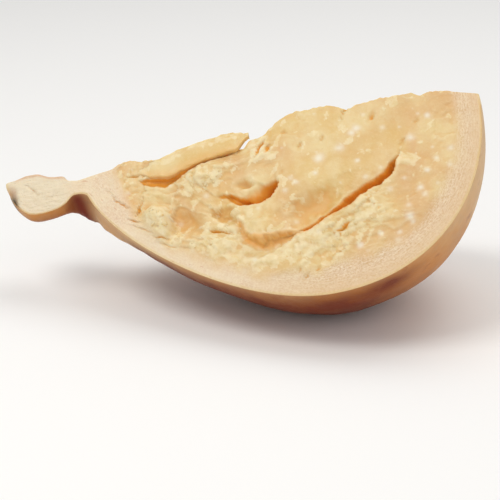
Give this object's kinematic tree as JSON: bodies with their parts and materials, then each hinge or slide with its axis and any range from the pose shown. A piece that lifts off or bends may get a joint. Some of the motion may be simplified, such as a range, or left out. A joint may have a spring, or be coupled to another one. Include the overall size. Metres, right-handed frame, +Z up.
{
  "type": "cheese",
  "caption": "Lengthwise quarter of an aged pear-shaped stretched-curd cheese with a knob at its neck, broken faces and a waxy rind, lying on its rind.",
  "frame": {"origin": "middle of the flat patch of rind that the cheese rests on", "axes": "+X from the knob towards the base of the cheese, level; +Y from the front face towards the back face; +Z up"},
  "size_m": [0.2501, 0.1388, 0.1165],
  "materials": {
    "cheese": "pale straw-yellow broken paste, slightly oily, inside a smooth tan to orange-brown rind"
  },
  "bodies": {
    "root": {"cheese_quarter": "cheese"}
  },
  "joints": []
}
